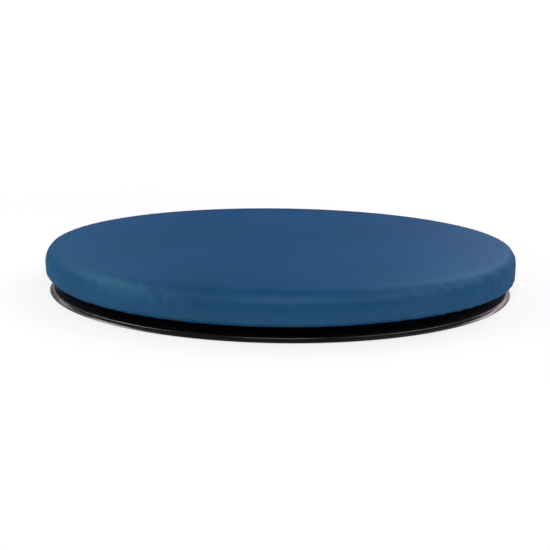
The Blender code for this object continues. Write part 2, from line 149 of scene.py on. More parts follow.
# Foam discs
FOAM_INSET = FABRIC + 1.8 * MM
FOAM_SPLIT = (SUPPORT_HIGH.z + COMFORT_LOW.z) / 2
FOAM_HALF_GAP = 0.15 * MM
FOAM_CHAMFER = 0.6 * MM
FOAM_ROUNDING = 6.5 * MM
FOAM_SEGMENTS = 96
FOAM_SHARP_ANGLE = 40
RELIEF_RADIUS = 14 * MM
RELIEF_DEPTH = 3 * MM

# Base: a flat top with a hub, a fine ridge near the rim, and a recess with ribs underneath
BASE_RADIUS = BASE_HIGH.x
BASE_SEGMENTS = 256
BASE_BOTTOM = BASE_LOW.z
HUB_HEIGHT = 4.8 * MM
BASE_TOP = BASE_HIGH.z - HUB_HEIGHT
RECESS_DEPTH = 1.0 * MM
BASE_UNDERSIDE = BASE_BOTTOM + RECESS_DEPTH
RIDGE_RADIUS = 0.45 * MM
RIDGE_INSET = 3.4 * MM
RIDGE_START = 125
RIDGE_END = 5
RIDGE_STEPS = 9
FACE_OUT = 0.1 * MM
FACE_DOWN = 0.15 * MM
RIM_FOOT = 0.3 * MM
RIM_WIDTH = 5.0 * MM
RIM_BULGE = 0.12 * MM
RIM_STEPS = 6
HUB_RADIUS = 20 * MM
HUB_CHAMFER = 1.2 * MM
HUB_FILLET = 1.0 * MM
BORE_RADIUS = 3.2 * MM
CAP_WALL = 2.0 * MM
RACE_GAP = 0.2 * MM
RACE_HALF_WIDTH = 5.8 * MM
RACE_THICKNESS = 1.0 * MM
PITCH_RADIUS = RACE_HIGH.x - RACE_HALF_WIDTH
RAIL_INNER_OFFSET = 4.2 * MM
RAIL_OUTER_OFFSET = 7.5 * MM
RAIL_TOP = RACE_HIGH.z - RACE_THICKNESS - RACE_GAP
CHANNEL_DEPTH = 0.6 * MM
RIB_COUNT = 8
RIB_WIDTH = 2.5 * MM
RIB_OVERLAP = 0.3 * MM
RIB_START = 1.2 * MM
RING_RIB_RADIUS = 176 * MM
FOOT_COUNT = 8
SOCKET_PLAY = 0.3 * MM
SOCKET_HEADROOM = 0.2 * MM
POCKET_HEADROOM = 0.1 * MM
SOCKET_SEGMENTS = 48
NUT_SIDES = 6
BASE_SHARP_ANGLE = 32


def srgb(red, green, blue):
    """A linear RGBA colour from 0-255 screen values."""
    channels = [c / 255 for c in (red, green, blue)]
    return (*[((c + 0.055) / 1.055) ** 2.4 if c > 0.04045 else c / 12.92 for c in channels], 1.0)


# ---------------------------------------------------------------- meshes


def arc(centre_r, centre_z, radius, start, end, steps):
    """Steps + 1 points on a circle, angles in degrees. Zero points outwards, 90 up."""
    angles = np.radians(np.linspace(start, end, steps + 1))
    return [(centre_r + radius * math.cos(a), centre_z + radius * math.sin(a)) for a in angles]


def line(start, end, steps):
    """Points after start, up to and including end."""
    return [
        (start[0] + (end[0] - start[0]) * i / steps, start[1] + (end[1] - start[1]) * i / steps)
        for i in range(1, steps + 1)
    ]


def new_object(name, data):
    """An object in the scene that holds this mesh, light or camera."""
    obj = bpy.data.objects.new(name, data)
    bpy.context.scene.collection.objects.link(obj)
    return obj


def grid_points(outline_at, segments):
    """Points of an outline swept round the axis: one row per angle. outline_at gives the outline there."""
    rows = []
    for j in range(segments):
        angle = 2 * math.pi * j / segments
        rows.append([(r * math.cos(angle), r * math.sin(angle), z) for r, z in outline_at(angle)])
    return np.array(rows)


def sheet_faces(segments, rings, first, closed, flip=False):
    """Quads between neighbouring rows of a grid. A closed outline joins its last point to its first."""
    faces = []
    for j in range(segments):
        here, there = first + j * rings, first + (j + 1) % segments * rings
        for i in range(rings if closed else rings - 1):
            k = (i + 1) % rings
            face = (here + i, here + k, there + k, there + i)
            faces.append(face[::-1] if flip else face)
    return faces


def finish_mesh(name, points, faces):
    """A smooth mesh with its doubled points merged and its faces turned outwards."""
    mesh = bpy.data.meshes.new(name)
    mesh.from_pydata(points.reshape(-1, 3).tolist(), [], faces)
    bm = bmesh.new()
    bm.from_mesh(mesh)
    bmesh.ops.remove_doubles(bm, verts=bm.verts, dist=MERGE_DISTANCE)
    bmesh.ops.recalc_face_normals(bm, faces=bm.faces)
    bm.to_mesh(mesh)
    bm.free()
    mesh.shade_smooth()
    return new_object(name, mesh)


def lathe(name, outline_at, segments, closed=True):
    """A turned solid. An open outline starts and ends on the axis, and a closed one is a loop."""
    points = grid_points(outline_at, segments)
    return finish_mesh(name, points, sheet_faces(segments, points.shape[1], 0, closed))


# ---------------------------------------------------------------- cushion


def frontness(angle):
    """1 at the front, 0 at the sides and the back."""
    return max(0.0, -math.sin(angle))


def edge_radii(angle):
    """The cushion's upper and lower edge radius, rounder at -X than at +X. The upper is rounder in front."""
    swing = math.cos(angle)
    return (
        TOP_EDGE_RADIUS - TOP_EDGE_SWING * swing + TOP_EDGE_FRONT * frontness(angle),
        BOTTOM_EDGE_RADIUS - BOTTOM_EDGE_SWING * swing,
    )


def upper_outline(angle, inset):
    """From the middle of the top to the start of the side: crown, roll-off and the edge's arc."""
    top_radius, _ = edge_radii(angle)
    roll_off = ROLL_OFF + ROLL_OFF_FRONT * frontness(angle)
    width = ROLL_OFF_WIDTH + ROLL_OFF_WIDTH_FRONT * frontness(angle)
    edge_r = CUSHION_RADIUS - top_radius
    slope = math.atan(2 * CROWN_RISE / edge_r + 2 * roll_off / width)
    edge_z = CUSHION_TOP - CROWN_RISE - roll_off - top_radius * math.cos(slope)
    crown_r = edge_r + top_radius * math.sin(slope)
    points = []
    for i in range(CROWN_RINGS):
        r = crown_r * i / CROWN_RINGS
        rolled = max(0.0, 1 - (crown_r - r) / width)
        fall = CROWN_RISE * (r / crown_r) ** 2 + roll_off * rolled**2
        points.append((r, CUSHION_TOP - inset - fall))
    return points + arc(edge_r, edge_z, top_radius - inset, 90 - math.degrees(slope), 0, EDGE_RINGS)


def turned_away(angle, bearing):
    """Degrees from a bearing to this angle, between -180 and 180."""
    return (math.degrees(angle) - bearing + 180) % 360 - 180


def lower_arc(angle, inset):
    """The turn under the side. The elastic draws it up a little more at the front right."""
    _, bottom_radius = edge_radii(angle)
    lift = LIFT * math.exp(-((turned_away(angle, LIFT_BEARING) / LIFT_WIDTH) ** 2))
    centre_r = CUSHION_RADIUS - bottom_radius
    centre_z = COVER_BOTTOM + lift + bottom_radius
    return arc(centre_r, centre_z, bottom_radius - inset, 0, -90, EDGE_RINGS)


def cover_outline(angle):
    """The outer face of the cover, from the middle of the top to the end of the hem's loop."""
    points = upper_outline(angle, 0.0)
    turn = lower_arc(angle, 0.0)
    points += line(points[-1], turn[0], SIDE_RINGS)[:-1]
    points += turn
    loop = arc(HEM_RADIUS, HEM_LEVEL, HEM_LOOP_RADIUS, HEM_LOOP_START, HEM_LOOP_END, LOOP_RINGS)
    points += line(points[-1], (HEM_FALL_START, COVER_BOTTOM), UNDER_RINGS)
    points += line(points[-1], loop[0], FALL_RINGS)
    return points + loop[1:]


def form_outline(angle, inset):
    """The foam and the turntable as the cover feels them, closed across the bottom."""
    points = upper_outline(angle, inset)
    points += lower_arc(angle, inset)
    return points + [(HEM_RADIUS, COVER_BOTTOM + inset), (0.0, COVER_BOTTOM + inset)]


def fullness(angle):
    """How loose the side is at this angle, from 0 to 1."""
    total = FULL_BASE
    for bearing, width, amount in FULL_SPOTS:
        total += amount * math.exp(-((turned_away(angle, bearing) / width) ** 2))
    return min(1.0, total)


def shaken(grid):
    """The same grid with a slight unevenness in its loose rings, which the creases start from."""
    grid = grid.copy()
    for row in grid:
        for place in row[FIRST_LOOSE : FIRST_LOOSE + LOOSE_RINGS]:
            shake = noise.noise(Vector(place) * SHAKE_SCALE) * SHAKE
            place[:2] *= 1 + shake / math.hypot(place[0], place[1])
    return grid


def running_mean(grid, span):
    """Each point's mean over the rows within span rows of its own."""
    return sum(np.roll(grid, shift, 0) for shift in range(-span, span + 1)) / (2 * span + 1)


def cloth_sheet(start):
    """The cloth's mesh. Its pins stay put, and the tighter a point is, the less spare fabric it gets."""
    segments, rings = start.shape[:2]
    mesh = bpy.data.meshes.new("cloth_cover")
    points = (start * CLOTH_SCALE).reshape(-1, 3)
    mesh.from_pydata(points.tolist(), [], sheet_faces(segments, rings, 0, False))
    sheet = new_object("cloth_cover", mesh)

    hem_ring = rings - LOOP_RINGS - 1
    first_loose = FIRST_LOOSE - PINNED_RINGS
    last_loose = first_loose + LOOSE_RINGS
    pins = sheet.vertex_groups.new(name="pins")
    tight = sheet.vertex_groups.new(name="tight")
    for j in range(segments):
        row = range(j * rings, (j + 1) * rings)
        tightness = 1.0 - fullness(2 * math.pi * j / segments)
        pins.add([*row[:2], *row[hem_ring:]], 1.0, "REPLACE")
        tight.add([*row[:first_loose], *row[last_loose:]], 1.0, "REPLACE")
        tight.add(list(row[first_loose:last_loose]), tightness, "REPLACE")
    return sheet


def cloth_form():
    """The solid that the cloth rests on."""
    form = lathe("cloth_form", lambda a: form_outline(a, FORM_INSET), FORM_SEGMENTS, closed=False)
    form.data.transform(Matrix.Scale(CLOTH_SCALE, 4))
    form.modifiers.new("Collision", "COLLISION")
    form.collision.thickness_outer = FORM_THICKNESS
    form.collision.cloth_friction = FORM_FRICTION
    return form


def relax(sheet):
    """Runs the cloth on a sheet and returns its points afterwards, in a row of x, y and z."""
    cloth = sheet.modifiers.new("Cloth", "CLOTH")
    for name, value in CLOTH_SETTINGS.items():
        setattr(cloth.settings, name, value)
    cloth.settings.vertex_group_mass = "pins"
    cloth.settings.vertex_group_shrink = "tight"
    cloth.settings.effector_weights.gravity = 0.0
    cloth.collision_settings.distance_min = CLOTH_GAP
    cloth.collision_settings.use_self_collision = False
    cloth.point_cache.frame_start = 1
    cloth.point_cache.frame_end = CLOTH_FRAMES

    scene = bpy.context.scene
    for step in range(1, CLOTH_FRAMES + 1):
        scene.frame_set(step)
    relaxed = sheet.evaluated_get(bpy.context.evaluated_depsgraph_get())
    after = np.zeros(3 * len(relaxed.data.vertices))
    relaxed.data.vertices.foreach_get("co", after)
    scene.frame_set(1)
    return after


def simulate_cover(cover):
    """Lets the sewn cover relax over the foam's form. Takes and returns a grid of points.

    Only the part outside PINNED_RINGS is simulated, and the cloth is ten times life size, because the
    solver's tolerances are made for clothes. The mean movement along the edge is taken out, so only the
    creases stay, and the cap keeps every point near the place it started from.
    """
    sheet = cloth_sheet(shaken(cover)[:, PINNED_RINGS:])
    form = cloth_form()
    after = relax(sheet)
    bpy.data.objects.remove(sheet)
    bpy.data.objects.remove(form)

    before = cover[:, PINNED_RINGS:]
    move = after.reshape(before.shape) / CLOTH_SCALE - before
    move -= running_mean(move, CREASE_SPAN)
    distance = np.linalg.norm(move, axis=2, keepdims=True)
    move *= np.minimum(1.0, CLOTH_CAP / np.maximum(distance, 1e-9))
    return np.concatenate((cover[:, :PINNED_RINGS], before + move), axis=1)


def refine(grid):
    """Doubles a grid of points both ways, along smooth curves through the points it has."""
    segments = grid.shape[0]
    middle = (9 * (grid + np.roll(grid, -1, 0)) - np.roll(grid, 1, 0) - np.roll(grid, -2, 0)) / 16
    grid = np.stack((grid, middle), axis=1).reshape(2 * segments, -1, 3)
    # Beyond the axis the outline carries on down the far side, and beyond the hem it runs straight on.
    far = np.roll(grid[:, 1:2], segments, 0)
    beyond = 2 * grid[:, -1:] - grid[:, -2:-1]
    padded = np.concatenate((far, grid, beyond), axis=1)
    middle = (9 * (padded[:, 1:-2] + padded[:, 2:-1]) - padded[:, :-3] - padded[:, 3:]) / 16
    fine = np.empty((2 * segments, 2 * grid.shape[1] - 1, 3))
    fine[:, 0::2] = grid
    fine[:, 1::2] = middle
    return fine


def inner_face(grid):
    """The same grid, moved inwards by the thickness of the fabric."""
    around = np.roll(grid, -1, 0) - np.roll(grid, 1, 0)
    down = np.gradient(grid, axis=1)
    normal = np.cross(down, around)
    normal[:, 0] = (0.0, 0.0, 1.0)
    normal /= np.linalg.norm(normal, axis=2, keepdims=True)
    return grid - FABRIC * normal


def make_cover():
    """The fabric cover: an outer and an inner face, joined at the end of the hem."""
    cover = grid_points(cover_outline, COVER_SEGMENTS)
    cover = simulate_cover(cover)
    outer = refine(cover)
    segments, rings = outer.shape[:2]
    count = segments * rings
    hem = []
    for j in range(segments):
        here = j * rings + rings - 1
        there = (j + 1) % segments * rings + rings - 1
        hem.append((here, count + here, count + there, there))
    faces = sheet_faces(segments, rings, 0, False) + sheet_faces(segments, rings, count, False, True)
    sheet = finish_mesh("seat_cover", np.stack((outer, inner_face(outer))), faces + hem)
    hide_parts("cover")
    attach(sheet, "seat")
    return sheet


# ---------------------------------------------------------------- base


def base_outline(_angle):
    """Section of the base, the same at every angle: hub, rails, flat top, fine ridge, rim and recess."""
    channel = BASE_TOP - CHANNEL_DEPTH
    hub_top = BASE_HIGH.z
    cap_radius = (CAP_HIGH.x - CAP_LOW.x) / 2 + RACE_GAP
    cap_top = CAP_HIGH.z + RACE_GAP
    ridge_r = BASE_RADIUS - RIDGE_INSET
    ridge_z = BASE_TOP - 0.5 * RIDGE_RADIUS
    points = [(BORE_RADIUS, hub_top), (HUB_RADIUS - HUB_CHAMFER, hub_top)]
    points += [(HUB_RADIUS, hub_top - HUB_CHAMFER)]
    points += arc(HUB_RADIUS + HUB_FILLET, BASE_TOP + HUB_FILLET, HUB_FILLET, 180, 270, 4)
    points += [
        (PITCH_RADIUS - RAIL_OUTER_OFFSET, BASE_TOP),
        (PITCH_RADIUS - RAIL_OUTER_OFFSET, RAIL_TOP),
        (PITCH_RADIUS - RAIL_INNER_OFFSET, RAIL_TOP),
        (PITCH_RADIUS - RAIL_INNER_OFFSET, channel),
        (PITCH_RADIUS + RAIL_INNER_OFFSET, channel),
        (PITCH_RADIUS + RAIL_INNER_OFFSET, RAIL_TOP),
        (PITCH_RADIUS + RAIL_OUTER_OFFSET, RAIL_TOP),
        (PITCH_RADIUS + RAIL_OUTER_OFFSET, BASE_TOP),
    ]
    points += line(points[-1], (ridge_r - 2 * RIDGE_RADIUS, BASE_TOP), 4)
    points += arc(ridge_r, ridge_z, RIDGE_RADIUS, RIDGE_START, RIDGE_END, RIDGE_STEPS)
    # The face of the rim falls away from the ridge in a slightly bulging curve.
    face_top = (points[-1][0] + FACE_OUT, points[-1][1] - FACE_DOWN)
    face_end = (BASE_RADIUS, BASE_BOTTOM + RIM_FOOT)
    for step in range(RIM_STEPS + 1):
        share = step / RIM_STEPS
        bulge = RIM_BULGE * math.sin(math.pi * share)
        r = face_top[0] + (face_end[0] - face_top[0]) * share + bulge
        points.append((r, face_top[1] + (face_end[1] - face_top[1]) * share + bulge))
    points += arc(BASE_RADIUS - RIM_FOOT, BASE_BOTTOM + RIM_FOOT, RIM_FOOT, -20, -90, 4)
    return points + [
        (BASE_RADIUS - RIM_WIDTH, BASE_BOTTOM),
        (BASE_RADIUS - RIM_WIDTH, BASE_UNDERSIDE),
        (RING_RIB_RADIUS + RIB_WIDTH, BASE_UNDERSIDE),
        (RING_RIB_RADIUS + RIB_WIDTH, BASE_BOTTOM),
        (RING_RIB_RADIUS, BASE_BOTTOM),
        (RING_RIB_RADIUS, BASE_UNDERSIDE),
        (cap_radius + CAP_WALL, BASE_UNDERSIDE),
        (cap_radius + CAP_WALL, BASE_BOTTOM),
        (cap_radius, BASE_BOTTOM),
        (cap_radius, cap_top),
        (BORE_RADIUS, cap_top),
    ]


def upright_prism(radius, bottom, top, place, segments):
    """An upright prism at a place's x and y, for sockets and pockets."""
    mesh = bpy.data.meshes.new("cutter")
    bm = bmesh.new()
    middle = Vector((place.x, place.y, (bottom + top) / 2))
    bmesh.ops.create_cone(
        bm,
        cap_ends=True,
        segments=segments,
        radius1=radius,
        radius2=radius,
        depth=top - bottom,
        matrix=Matrix.Translation(middle),
    )
    bm.to_mesh(mesh)
    bm.free()
    return new_object("cutter", mesh)


def radial_bar(angle, inner, outer, width, bottom, top):
    """A bar that runs outwards at an angle, for ribs."""
    mesh = bpy.data.meshes.new("cutter")
    bm = bmesh.new()
    middle = (inner + outer) / 2
    place = Vector((middle * math.cos(angle), middle * math.sin(angle), (bottom + top) / 2))
    size = Matrix.Diagonal((outer - inner, width, top - bottom, 1.0))
    matrix = Matrix.Translation(place) @ Matrix.Rotation(angle, 4, "Z") @ size
    bmesh.ops.create_cube(bm, size=1.0, matrix=matrix)
    bm.to_mesh(mesh)
    bm.free()
    return new_object("cutter", mesh)


def apply_boolean(obj, cutter, operation):
    """Joins the cutter to the object or cuts it out, and removes the cutter."""
    modifier = obj.modifiers.new("Cut", "BOOLEAN")
    modifier.operation = operation
    modifier.solver = "EXACT"
    modifier.object = cutter
    graph = bpy.context.evaluated_depsgraph_get()
    mesh = bpy.data.meshes.new_from_object(obj.evaluated_get(graph))
    obj.modifiers.remove(modifier)
    obj.data = mesh
    bpy.data.objects.remove(cutter)


def make_base():
    """The base plate in fine steps, with its ribs, foot sockets and nut pocket."""
    base = lathe("base_disc", base_outline, BASE_SEGMENTS)
    rib_inner = (CAP_HIGH.x - CAP_LOW.x) / 2 + RIB_START
    rib_outer = RING_RIB_RADIUS + RIB_WIDTH / 2
    rib_top = BASE_UNDERSIDE + RIB_OVERLAP
    for i in range(RIB_COUNT):
        angle = 2 * math.pi * (i + 0.5) / RIB_COUNT
        bar = radial_bar(angle, rib_inner, rib_outer, RIB_WIDTH, BASE_BOTTOM, rib_top)
        apply_boolean(base, bar, "UNION")
    foot_radius = (FOOT_HIGH.x - FOOT_LOW.x) / 2 + SOCKET_PLAY
    socket_top = FOOT_HIGH.z + SOCKET_HEADROOM
    for i in range(1, FOOT_COUNT + 1):
        low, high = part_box(f"foot_pad_{i}")
        socket = upright_prism(foot_radius, 0.0, socket_top, (low + high) / 2, SOCKET_SEGMENTS)
        apply_boolean(base, socket, "DIFFERENCE")
    nut_radius = (NUT_HIGH.y - NUT_LOW.y) / 2 + SOCKET_PLAY
    pocket_top = NUT_HIGH.z + POCKET_HEADROOM
    pocket = upright_prism(nut_radius, 0.0, pocket_top, Vector((0, 0, 0)), NUT_SIDES)
    apply_boolean(base, pocket, "DIFFERENCE")
    base.data.shade_smooth()
    base.data.set_sharp_from_angle(angle=math.radians(BASE_SHARP_ANGLE))
    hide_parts("base_plate")
    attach(base, "base")
    return base


# ---------------------------------------------------------------- foam and elastic


def comfort_outline(angle):
    """The upper disc follows the cover's top and edge, down to the split between the discs."""
    bottom = FOAM_SPLIT + FOAM_HALF_GAP
    points = [(r, max(z, bottom + FOAM_CHAMFER)) for r, z in upper_outline(angle, FOAM_INSET)]
    side = points[-1][0]
    return points + [(side, bottom + FOAM_CHAMFER), (side - FOAM_CHAMFER, bottom), (0.0, bottom)]


def support_outline(_angle):
    """The lower disc is round, rounded below and relieved in the middle for the screw's head."""
    side = CUSHION_RADIUS - FOAM_INSET
    top = FOAM_SPLIT - FOAM_HALF_GAP
    bottom = SUPPORT_LOW.z
    points = [(0.0, top), (side - FOAM_CHAMFER, top), (side, top - FOAM_CHAMFER)]
    points += arc(side - FOAM_ROUNDING, bottom + FOAM_ROUNDING, FOAM_ROUNDING, 0, -90, 8)
    relief = [(RELIEF_RADIUS, bottom), (RELIEF_RADIUS, bottom + RELIEF_DEPTH), (0.0, bottom + RELIEF_DEPTH)]
    return points + relief


def make_foam(name, outline, node):
    """A foam disc inside the cover. It isn't seen unless the cover is off."""
    disc = lathe(name, outline, FOAM_SEGMENTS, closed=False)
    disc.data.set_sharp_from_angle(angle=math.radians(FOAM_SHARP_ANGLE))
    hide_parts(node)
    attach(disc, "seat")
    return disc


def cord_section(angle):
    """The cord's section in the hem. Its points swell and shrink in turn along the cord, like a braid."""
    points = []
    for i in range(CORD_STRANDS):
        turn = 2 * math.pi * i / CORD_STRANDS
        crossing = math.sin(CORD_PLAITS * angle + turn) * math.sin(CORD_PLAITS * angle - turn)
        radius = CORD_RADIUS * (1 + CORD_SWELL * crossing)
        points.append((HEM_RADIUS + radius * math.cos(turn), HEM_LEVEL + radius * math.sin(turn)))
    return points


def make_elastic():
    """The braided elastic cord in the cover's hem."""
    cord = lathe("hem_elastic", cord_section, CORD_SEGMENTS)
    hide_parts("elastic_cord")
    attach(cord, "seat")
    return cord


# ---------------------------------------------------------------- materials


def new_material(name):
    """A node material. Returns it with its node tree and its Principled node."""
    material = bpy.data.materials.new(name)
    material.use_nodes = True
    tree = material.node_tree
    return material, tree, tree.nodes["Principled BSDF"]


def add(tree, kind, inputs=None, **settings):
    """A new node. An input is either a value or the socket that feeds it."""
    node = tree.nodes.new(kind)
    for key, value in settings.items():
        setattr(node, key, value)
    for key, value in (inputs or {}).items():
        if isinstance(value, bpy.types.NodeSocket):
            tree.links.new(value, node.inputs[key])
        else:
            node.inputs[key].default_value = value
    return node


def object_coordinates(tree):
    """Places on the object, in metres."""
    return add(tree, "ShaderNodeTexCoord").outputs["Object"]


def noise_value(tree, vector, scale, detail=2.0, roughness=0.5):
    """Noise from 0 to 1, with about this many blotches to the metre."""
    node = add(
        tree,
        "ShaderNodeTexNoise",
        {"Vector": vector, "Scale": scale, "Detail": detail, "Roughness": roughness},
    )
    return node.outputs["Fac"]


def remap(tree, value, low, high, new_low, new_high, kind="LINEAR"):
    """Carries low to new_low and high to new_high, and stops there."""
    inputs = {"Value": value, "From Min": low, "From Max": high, "To Min": new_low, "To Max": new_high}
    return add(tree, "ShaderNodeMapRange", inputs, interpolation_type=kind).outputs["Result"]


def mix_colour(tree, factor, first, second):
    """The first colour where the factor is 0, the second where it is 1."""
    node = add(tree, "ShaderNodeMix", data_type="RGBA")
    # Sockets 0, 6 and 7 are the factor and the two colours.
    for index, value in ((0, factor), (6, first), (7, second)):
        if isinstance(value, bpy.types.NodeSocket):
            tree.links.new(value, node.inputs[index])
        else:
            node.inputs[index].default_value = value
    return node.outputs[2]


def bump(tree, height, distance, strength, normal=None):
    """A normal from a height, with the distance in metres, on top of another normal if there is one."""
    inputs = {"Height": height, "Distance": distance, "Strength": strength}
    if normal:
        inputs["Normal"] = normal
    return add(tree, "ShaderNodeBump", inputs).outputs["Normal"]


# The cover's soft gleam: its share of the surface, its tint and how widely it spreads
GLEAM = 0.035
GLEAM_TINT = (0.5, 0.95, 1.0, 1.0)
GLEAM_ROUGHNESS = 0.5


def cover_material():
    """Blue stretch fabric with a short pile: fine grain, drifting tone and a soft gleam."""
    material, tree, shader = new_material("cover_fabric_blue")
    place = object_coordinates(tree)
    drift = noise_value(tree, place, 11.0, 2.0)
    brushed = noise_value(tree, place, 260.0, 3.0, 0.6)
    pile = noise_value(tree, place, 1500.0, 2.0, 0.6)
    deep, mid, light = srgb(8, 60, 101), srgb(11, 66, 112), srgb(17, 77, 127)
    tone = mix_colour(tree, remap(tree, drift, 0.35, 0.65, 0.0, 1.0), deep, mid)
    tone = mix_colour(tree, remap(tree, brushed, 0.4, 0.8, 0.0, 0.3), tone, light)
    tone = mix_colour(tree, remap(tree, pile, 0.3, 0.7, 0.0, 0.3), tone, deep)
    grain = bump(tree, pile, 0.15 * MM, 0.4)
    grain = bump(tree, brushed, 0.25 * MM, 0.15, grain)
    tree.links.new(tone, shader.inputs["Base Color"])
    tree.links.new(grain, shader.inputs["Normal"])
    shader.inputs["Roughness"].default_value = 0.75
    shader.inputs["Specular IOR Level"].default_value = 0.03
    # The brushed fibres gleam softly where the fabric bends towards a light.
    gleam = add(
        tree,
        "ShaderNodeBsdfAnisotropic",
        {"Color": GLEAM_TINT, "Roughness": GLEAM_ROUGHNESS, "Normal": grain},
    )
    worn = add(tree, "ShaderNodeMixShader", {0: GLEAM, 1: shader.outputs[0], 2: gleam.outputs[0]})
    tree.links.new(worn.outputs[0], tree.nodes["Material Output"].inputs["Surface"])
    return material


def gloss_plastic_material():
    """Polished black moulded plastic, with a faint warm cast, a drifting haze and a very fine grain."""
    material, tree, shader = new_material("base_black_gloss")
    place = object_coordinates(tree)
    haze = noise_value(tree, place, 14.0, 4.0)
    fine = noise_value(tree, place, 700.0, 3.0)
    tone = mix_colour(tree, remap(tree, haze, 0.35, 0.7, 0.0, 1.0), srgb(27, 20, 16), srgb(38, 30, 25))
    tree.links.new(tone, shader.inputs["Base Color"])
    tree.links.new(remap(tree, haze, 0.3, 0.7, 0.18, 0.25), shader.inputs["Roughness"])
    tree.links.new(bump(tree, fine, 0.04 * MM, 0.3), shader.inputs["Normal"])
    shader.inputs["Specular IOR Level"].default_value = 0.6
    return material


def plain_material(name, dark, light, scale, roughness, metallic=0.0, grain=0.06 * MM):
    """Moulded or rolled stock: two close tones, uneven roughness and a fine surface grain."""
    material, tree, shader = new_material(name)
    place = object_coordinates(tree)
    mottle = noise_value(tree, place, scale, 4.0)
    fine = noise_value(tree, place, scale * 25, 2.0)
    tone = mix_colour(tree, remap(tree, mottle, 0.3, 0.7, 0.0, 1.0), dark, light)
    tree.links.new(tone, shader.inputs["Base Color"])
    spread = remap(tree, mottle, 0.3, 0.7, roughness * 0.85, min(1.0, roughness * 1.15))
    tree.links.new(spread, shader.inputs["Roughness"])
    tree.links.new(bump(tree, fine, grain, 0.5), shader.inputs["Normal"])
    shader.inputs["Metallic"].default_value = metallic
    return material


def foam_material(name, dark, light):
    """Open-cell foam: small pits between lighter cell walls, with painted shade darkening the pits."""
    material, tree, shader = new_material(name)
    place = object_coordinates(tree)
    cells = add(tree, "ShaderNodeTexVoronoi", {"Vector": place, "Scale": 900.0}).outputs["Distance"]
    drift = noise_value(tree, place, 20.0, 3.0)
    # Painted shade: the tone is darkest at the cell middles, where the bump sinks the pits.
    tone = mix_colour(tree, remap(tree, cells, 0.1, 0.7, 0.0, 1.0), dark, light)
    tone = mix_colour(tree, remap(tree, drift, 0.3, 0.7, 0.0, 0.25), tone, dark)
    tree.links.new(tone, shader.inputs["Base Color"])
    tree.links.new(bump(tree, cells, 0.4 * MM, 0.6), shader.inputs["Normal"])
    shader.inputs["Roughness"].default_value = 0.95
    return material


def cord_material():
    """White elastic with fine strands, with painted shade darkening the dips between them."""
    material, tree, shader = new_material("elastic_white_braid")
    place = object_coordinates(tree)
    strands = add(tree, "ShaderNodeTexWave", {"Vector": place, "Scale": 900.0, "Distortion": 2.0})
    # Painted shade: the tone is darkest where the wave sinks between the strands in the bump.
    tone = mix_colour(tree, strands.outputs["Fac"], srgb(188, 186, 180), srgb(226, 224, 218))
    tree.links.new(tone, shader.inputs["Base Color"])
    tree.links.new(bump(tree, strands.outputs["Fac"], 0.1 * MM, 0.5), shader.inputs["Normal"])
    shader.inputs["Roughness"].default_value = 0.85
    return material


def paint(obj, material):
    """Gives an object this one material."""
    obj.data.materials.clear()
    obj.data.materials.append(material)


def paint_frame_nodes():
    """Materials for the CAD nodes that stay in view."""
    satin = plain_material("turntable_black_satin", srgb(24, 24, 25), srgb(38, 38, 39), 60, 0.45)
    rubber = plain_material("foot_rubber_matte", srgb(30, 30, 31), srgb(46, 46, 47), 90, 0.85)
    acetal = plain_material("cage_black_acetal", srgb(30, 30, 31), srgb(42, 42, 43), 70, 0.45)
    strip = plain_material("race_rolled_steel", srgb(150, 150, 152), srgb(190, 190, 192), 120, 0.34, 1.0)
    ball = plain_material("ball_polished_steel", srgb(205, 205, 207), srgb(225, 225, 227), 200, 0.12, 1.0)
    zinc = plain_material("screw_zinc", srgb(176, 176, 168), srgb(206, 205, 198), 260, 0.32, 1.0)
    looks = {
        "turntable_plate": satin,
        "hub_cap": satin,
        "ball_cage": acetal,
        "pivot_bush": acetal,
        "lower_race": strip,
        "upper_race": strip,
        "pivot_screw": zinc,
        "pivot_nut": zinc,
        "pivot_washer": zinc,
    }
    for name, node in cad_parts.items():
        if name.startswith("foot_pad"):
            paint(node, rubber)
        elif name.startswith("bearing_ball"):
            paint(node, ball)
            node.data.shade_smooth()
        elif name in looks:
            paint(node, looks[name])


# ---------------------------------------------------------------- stage

# Camera: the viewpoint fitted to the object's outline. It looks along +Y.
CAMERA_DISTANCE = 0.79
CAMERA_ELEVATION = math.radians(10.6)
CAMERA_ROLL = math.radians(0.8)
CAMERA_TARGET = Vector((0.0, 0.0, 0.0256))
SENSOR_WIDTH = 36.0
LENS = 58.9
SHIFT_X = -0.0102
SHIFT_Y = -0.0411

# Floor: the share that glows, and the distances from the axis between which it fades out
FLOOR_RADIUS = 3.0
FLOOR_GLOW = 0.7
FADE_START = 0.45
FADE_END = 1.1
SURROUND = 1.05

# Brightness of the room that the object reflects, in front of it and behind it
ROOM_FRONT = 0.06
BACKDROP_LEFT = 0.3
BACKDROP_MIDDLE = 0.22
BACKDROP_RIGHT = 0.7

# Softboxes: bearing and elevation in degrees, width, height and distance in metres, power in watts, colour
WHITE = (1.0, 1.0, 1.0)
ROSE = (1.0, 0.83, 0.97)
SOFTBOXES = {
    "front": (-90, 45, 0.6, 0.6, 1.2, 4.2, WHITE),
    "behind_right": (45, 38, 0.9, 0.9, 1.5, 10.4, ROSE),
    "behind_right_low": (60, 25, 0.7, 0.7, 1.5, 1.8, ROSE),
    "behind_left": (125, 35, 0.9, 0.9, 1.5, 3.8, ROSE),
    "side_right": (-24, 37, 1.0, 0.25, 1.2, 3.2, WHITE),
    "side_left": (182, 36, 0.5, 0.3, 0.9, 2.6, WHITE),
    "low_right": (-25, 15, 0.7, 0.7, 1.5, 1.6, WHITE),
    "low_left": (205, 15, 0.7, 0.7, 1.5, 4.4, WHITE),
}


